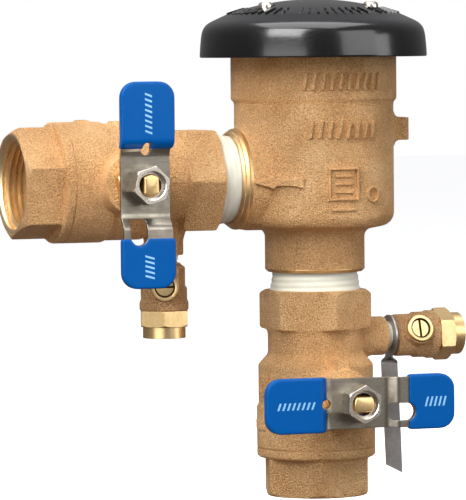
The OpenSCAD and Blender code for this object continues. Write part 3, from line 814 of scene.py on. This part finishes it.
for side, m in SIDES.items():
    solid = mesh_of("cock_parts", *cad_parts(f"{side}_cock_body"))
    casting = softened("cock", solid, 0.3, 3)
    own_piece(side, "cock_casting", casting, "assembly", CAST_COCK, "cock_body")
    end = bevelled("cock_end", mesh_of("end_parts", *cad_parts(f"{side}_cock_end")), 0.25)
    own_piece(side, "cock_end_turned", end, "assembly", BRASS, "cock_end")
    plug = m @ COCK_PLUG[side]
    gland = moved(gland_mesh, plug, "gland")
    gland = own_piece(side, "cock_gland_turned", gland, "assembly", BRASS, "cock_gland")
    # Painted shade inside the gland's bore, round the stem.
    stain_and_shade(gland, plug.inverted(), lambda v: math.hypot(v.x, v.y) < GLAND_INNER_R)
    stem = bevelled("cock_stem", mesh_of("cock_stem_parts", *cad_parts(f"{side}_cock_stem")), 0.22)
    stem = own_piece(side, "cock_stem_turned", stem, f"{side}_cock_plug", BRASS, "cock_stem")
    # Painted shade in the stem's slot.
    stain_and_shade(stem, plug.inverted(), lambda v: abs(v.x) < SLOT_HALF and SLOT_FLOOR < v.z < STEM_TOP)
    ridge = coil_thread(6.87, 6.0, COCK_PITCH, 0, 9, seg=64)
    thread = mesh_of("cock_thread", *turned(COCK_MOUTH, ridge), sharp=50)
    side_piece(side, "cock_thread", thread, "assembly", BRASS, "brass")

# ---------- taped threads ----------


def wrapped_tape(z0, z1, r_low, r_high, ridge, pitch, seg=160, rows=40, inner=16.4, lip=0.0):
    """Thread tape stretched over a pipe thread: helical ridges, small pleats and a ragged lip."""
    rings = []
    for j in range(seg):
        a = tau * j / seg
        line = []
        for i in range(rows + 1):
            t = i / rows
            z = z0 + (z1 - z0) * t
            wave = math.cos(tau * (z / pitch - j / seg))
            pleat = 0.05 * math.sin(3 * a + 5 * t) + 0.035 * math.sin(11 * a + 9 * t)
            r = r_low + (r_high - r_low) * t + ridge * (wave - 1) / 2 + pleat
            r += lip * max(0.0, 1 - t * 6) * (0.7 + 0.3 * math.sin(5 * a + 1))
            line.append((r, z))
        line += [(inner, z1), (inner, z0)]
        rings.append([(r * math.cos(a), r * math.sin(a), z) for r, z in line])
    return loft(rings, closed=True)


for side, z1, r_end, ridge, lip in (("inlet", 86.0, 16.25, 0.22, 0.3), ("outlet", 86.4, 16.5, 0.1, 0.0)):
    wrap = wrapped_tape(78.7, z1, 17.3, r_end, ridge, THREAD_PITCH, inner=15.2, lip=lip)
    side_piece(side, "tape_wrap", mesh_of("tape", *wrap, sharp=60), "assembly", TAPE, "white_tape", "tape")
    core = lathe([
        (13.3, 64.9), (16.6, 64.9), (16.6, 79), (15.9, 86), (15.0, 87), (15.0, 100.7), (13.3, 100.7),
    ])
    thread = coil_thread(15.05, 16.5, THREAD_PITCH, 87.2, 100.4)
    nipple = mesh_of("nipple", *joined([core, thread]), sharp=40)
    side_piece(side, "nipple_turned", nipple, "assembly", BRASS, "brass", "nipple")
for side in SIDES:
    band = wrapped_tape(-0.05, 1.98, 5.5, 5.45, 0.15, 0.94, seg=72, rows=16, inner=4.9)
    wrap = mesh_of("cock_tape_wrap", *turned(COCK_INNER, band), sharp=60)
    side_piece(side, "cock_tape_wrap", wrap, "assembly", TAPE, "white_tape", "cock_tape")

# ---------- strap ----------

strap = bevelled("strap", mesh_of("strap_parts", *cad_parts("tag_strap")), 0.12, 2, 50)
piece("hanging_strap_steel", strap, "hanging_strap", STRAP, ["tag_strap"])

# ---------- vacuum breaker body ----------

BOWL_R, COLLAR_R = 30.5, 31.7
FRONT = -90.0


def lug_root():
    """The cast fillet round the lug's foot."""
    rings = []
    for x, grow in ((26, 2.6), (30.6, 2.3), (31.2, 1.3), (32.2, 0.5), (33.6, 0.05)):
        y, z0, z1 = 4.5 + grow, 135.4 - grow, 144.2 + grow
        rings.append([(x, -y, z0), (x, y, z0), (x, y, z1), (x, -y, z1)])
    return loft(rings)


def body_marks():
    """Raised cast marks: plain slanted bars, a frame and a ring, in place of any lettering."""
    marks = []
    for i in range(10):
        a = FRONT - 28 + 55 * i / 9
        marks.append(bar_on(COLLAR_R, a - 1.6, a + 1.0, 155.2, 161.8, 1.1, 2, slant=1.8))
    for i in range(8):
        a = FRONT - 24 + 47 * i / 7
        marks.append(bar_on(BOWL_R, a - 1.5, a + 1.0, 137.0, 143.6, 1.1, 2, slant=1.8))
    a0, a1, z0, z1, w = FRONT - 11.5, FRONT + 11.5, 113.6, 126.0, 0.9
    wa = math.degrees(w / BOWL_R)
    marks += [
        bar_on(BOWL_R, a0, a1, z1 - w, z1, 0.9, 6), bar_on(BOWL_R, a0, a1, z0, z0 + w, 0.9, 6),
        bar_on(BOWL_R, a0, a0 + wa, z0, z1, 0.9, 2), bar_on(BOWL_R, a1 - wa, a1, z0, z1, 0.9, 2),
    ]
    marks += [bar_on(BOWL_R, a0 + 4.5, a1 - 4.5, z, z + 1.0, 0.65, 5) for z in (122.3, 119.3, 116.3)]
    marks.append(bar_on(BOWL_R, a0 + 2, a1 - 2, 109.6, 110.8, 0.6, 5))
    ring_turn, ring_z = FRONT + 24.8, 115.7
    ring = []
    for i in range(48):
        a = tau * i / 48
        line = []
        for r, proud in ((3.25, -0.5), (3.05, 0.7), (2.45, 0.7), (2.25, -0.5)):
            t = math.radians(ring_turn) + r * math.cos(a) / BOWL_R
            x, y = (BOWL_R + proud) * math.cos(t), (BOWL_R + proud) * math.sin(t)
            line.append((x, y, ring_z + r * math.sin(a)))
        ring.append(line)
    marks.append(loft(ring, closed=True))
    return marks


def flow_arrow():
    """A raised arrow towards the outlet. It starts on the bowl and ends on the outlet boss."""
    z = 120.6
    x_tip, x_neck, x_tail = -31.6, -24.5, -15.2
    half_head, half_shaft, proud, steps = 2.9, 1.5, 1.1, 14

    def front(x):
        """The casting's face at the arrow's height, with its fillet between bowl and boss."""
        on_bowl = math.sqrt(max(0.0, BOWL_R ** 2 - x * x))
        boss_r = 19.6 - 0.5 * max(0.0, min(1.0, (-x - 28) / 3))
        on_boss = math.sqrt(max(0.0, boss_r ** 2 - (z - OUTLET_Z) ** 2))
        fillet = 0.75 * math.exp(-(((x + 23.6) / 2.2) ** 2))
        return -max(on_bowl, on_boss) - fillet

    stations = []
    for i in range(steps + 1):
        stations.append((x_tip + (x_neck - x_tip) * i / steps, 0.2 + (half_head - 0.2) * i / steps))
    for i in range(1, steps + 1):
        flare = 1.2 * max(0.0, (i - 9) / 5)
        stations.append((x_neck + (x_tail - x_neck) * i / steps, half_shaft + flare))
    rings = []
    for x, h in stations:
        foot, face = front(x) + 1.2, front(x) - proud
        rings.append([(x, foot, z - h), (x, face, z - h * 0.75), (x, face, z + h * 0.75), (x, foot, z + h)])
    return loft(rings)


def body_casting():
    """The bowl with the fillets round its lug and its outlet boss."""
    extras = [lug_root(), turned(ALONG_OUTLET, saddle(19.1, BOWL_R, 2.6, low=-9))]
    return softened("body_casting", mesh_of("body_parts", *joined([cad_parts("body")] + extras)), 0.5, 3)


piece("body_casting", body_casting(), "assembly", CAST, ["body"])
marks = mesh_of("cast_marks", *joined(body_marks() + [flow_arrow()]), sharp=60)
piece("body_cast_marks", marks, "assembly", CAST)

# The machined band and face of the outlet boss, and the faced lower mouth
band = lathe([
    (19.12, 31.9), (19.2, 32.1), (19.2, 33.0), (18.95, 33.1), (18.95, 33.35), (18.8, 33.65), (18.2, 34.45),
    (18.0, 34.5), (17.9, 34.85), (17.45, 35.5), (17.3, 35.66), (16.72, 35.66), (16.72, 34.5), (17.6, 31.9),
])
band = mesh_of("band", *turned(ALONG_OUTLET, band), sharp=30)
piece("outlet_boss_band", band, "assembly", MACHINED)
face = lathe([(18.1, 85.73), (19.16, 86.8), (19.16, 87.05), (17.5, 87.05), (16.75, 86.6), (16.75, 85.73)])
piece("lower_mouth_face", mesh_of("face", *face, sharp=30), "assembly", MACHINED)

# ---------- springs -----------------------------------------------

for name, joint, fixed_z, length, travel in (
    ("air", "air_inlet_lift", 163.0, 10.0, 5.9), ("check", "check_lift", 137.9, 22.4, 6.0),
):
    coil = mesh_of(f"{name}_coil", *cad_parts(f"{name}_spring"), sharp=50)
    coil = piece(f"{name}_spring_coil", coil, "assembly", SPRING, [f"{name}_spring"])
    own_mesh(coil)

# ---------- canopy ----------

RIM_Z, CROWN_Z = 167.6, 189.7
CROWN_R = 97.3
SCREW_CIRCLE, SCREW_TURN = 23.3, 78.6
SEAT_Z = CROWN_Z - 3.4
SCREW_ANGLES = [math.radians(SCREW_TURN + 120 * k) for k in range(3)]
SCREW_SPOTS = [(SCREW_CIRCLE * math.cos(a), SCREW_CIRCLE * math.sin(a)) for a in SCREW_ANGLES]
TOP_R, UNDER_R, WALL = 33.2, 31.0, 2.2


def crown_z(r):
    return CROWN_Z - r * r / (2 * CROWN_R)


def smooth_line(points, per=6):
    """A Catmull-Rom line through (r, z) points."""
    fresh = []
    for i in range(len(points) - 1):
        p0, p1 = points[max(0, i - 1)], points[i]
        p2, p3 = points[i + 1], points[min(len(points) - 1, i + 2)]
        for k in range(per):
            t = k / per
            fresh.append(tuple(
                0.5 * (
                    2 * b + (c - a) * t
                    + (2 * a - 5 * b + 4 * c - d) * t * t
                    + (3 * b - a - 3 * c + d) * t ** 3
                )
                for a, b, c, d in zip(p0, p1, p2, p3)
            ))
    return fresh + [points[-1]]


def at_screws(parts):
    """A copy of (verts, faces) at each canopy screw."""
    return joined([turned(Matrix.Translation((*spot, 0)), parts) for spot in SCREW_SPOTS])


# (radius, height above the rim), down the outside and up the inside
OUTSIDE = (
    (TOP_R, 16.4), (36.8, 14.75), (39.4, 13.5), (41.1, 12.2), (42.2, 10.5), (42.8, 8), (43.25, 3.5),
    (43.4, 0.6),
)
RIM = ((43.3, 0.2), (43.0, 0.02), (41.8, 0.02), (41.5, 0.08))
INSIDE = ((41.4, 0.15), (41.0, 4), (40.4, 8.2), (39.4, 10.5), (37.8, 12), (35.2, 13.3), (UNDER_R, 14.9))
outside, rim, inside = ([(r, RIM_Z + h) for r, h in line] for line in (OUTSIDE, RIM, INSIDE))
top = [(TOP_R * i / 24, crown_z(TOP_R * i / 24)) for i in range(24)]
under = [(UNDER_R * (1 - i / 12), crown_z(UNDER_R * (1 - i / 12)) - WALL) for i in range(1, 13)]
shell = lathe(top + smooth_line(outside) + rim + smooth_line(inside) + under, 192)
cap = mesh_of("canopy_shell", *shell, sharp=35)
pit = lathe([(0, SEAT_Z), (3.5, SEAT_Z), (3.7, SEAT_Z + 6), (0, SEAT_Z + 6)], 48)
cap = carved(cap, mesh_of("pits", *at_screws(pit)))
shade(cap, 30)
piece("canopy_shell", cap, "assembly", BLACK, ["canopy"])
post = lathe([(4.0, 182.3), (4.0, 186.0), (1.8, 186.0), (1.8, 182.3)], 48)
posts = mesh_of("posts", *at_screws(post), sharp=35)
piece("canopy_posts", posts, "assembly", BLACK)


def tick(a, r0, r1, half_w, tall=0.55):
    """One raised mark on the crown, between two radii."""
    rings = []
    for i in range(5):
        r = r0 + (r1 - r0) * i / 4
        c, s = math.cos(a), math.sin(a)
        z = crown_z(r)
        line = [(-half_w, z - 0.4), (half_w, z - 0.4), (half_w * 0.7, z + tall), (-half_w * 0.7, z + tall)]
        rings.append([(r * c - w * s, r * s + w * c, h) for w, h in line])
    return loft(rings)


def near_screw(a, margin):
    return any(abs((a - s + math.pi) % tau - math.pi) < margin for s in SCREW_ANGLES)


# Two rows of marks round the crown, with every third joined into one long mark and some left out
TICKS = 60
INNER_ROW, OUTER_ROW = (26.6, 29.0), (30.2, 33.0)
ticks = []
for i in range(TICKS):
    a = tau * i / TICKS
    if i % 10 == 9:
        continue
    if i % 3 == 0:
        ticks.append(tick(a, INNER_ROW[0], OUTER_ROW[1], 0.5))
    else:
        ticks.append(tick(a, *OUTER_ROW, 0.5))
        if not near_screw(a, 0.2):
            ticks.append(tick(a, *INNER_ROW, 0.5))
piece("canopy_marks", mesh_of("ticks", *joined(ticks), sharp=35), "assembly", BLACK)


def pan_head():
    """A screw's head: a low dome with a cross recess."""
    edge_r, edge_z, dome_r = 2.9, 0.85, 1.35
    turns = [math.radians(10 * i) for i in range(1, 9)]
    dome = [(edge_r - dome_r + dome_r * math.cos(t), edge_z + dome_r * math.sin(t)) for t in turns]
    head = mesh_of("head", *lathe([(0, 0), (2.88, 0), (edge_r, edge_z)] + dome + [(0, 2.22)], 64))
    for x, y in ((1.75, 0.36), (0.36, 1.75)):
        head = carved(head, mesh_of("cross", *box(-x, x, -y, y, 1.15, 4)))
    return head


head = pan_head()
bm = bmesh.new()
for k, spot in enumerate(SCREW_SPOTS):
    seat = Matrix.Translation(Vector((*spot, SEAT_Z)) * MM)
    bm.from_mesh(moved(head, seat @ Matrix.Rotation(0.5 + 1.1 * k, 4, "Z"), "one_head"))
heads = bpy.data.meshes.new("canopy_screw_heads")
bm.to_mesh(heads)
bm.free()
shade(heads, 35)
piece("canopy_screw_heads", heads, "assembly", BRIGHT)

# ---------- floor ----------

FLOOR_Z, FLOOR_HALF = -0.05, 6.0
corners = [(x * FLOOR_HALF, y * FLOOR_HALF, FLOOR_Z) for x, y in ((-1, -1), (1, -1), (1, 1), (-1, 1))]
floor_mesh = bpy.data.meshes.new("floor")
floor_mesh.from_pydata(corners, [], [(0, 1, 2, 3)])
floor = bpy.data.objects.new("floor", floor_mesh)
scene.collection.objects.link(floor)
white = bpy.data.materials.new("pale_floor")
white.use_nodes = True
shader = white.node_tree.nodes["Principled BSDF"]
shader.inputs["Base Color"].default_value = (0.95, 0.95, 0.95, 1)
shader.inputs["Roughness"].default_value = 0.9
shader.inputs["Emission Color"].default_value = (1, 1, 1, 1)
shader.inputs["Emission Strength"].default_value = 0.55
floor.data.materials.append(white)
floor.visible_glossy = False
floor.visible_diffuse = False
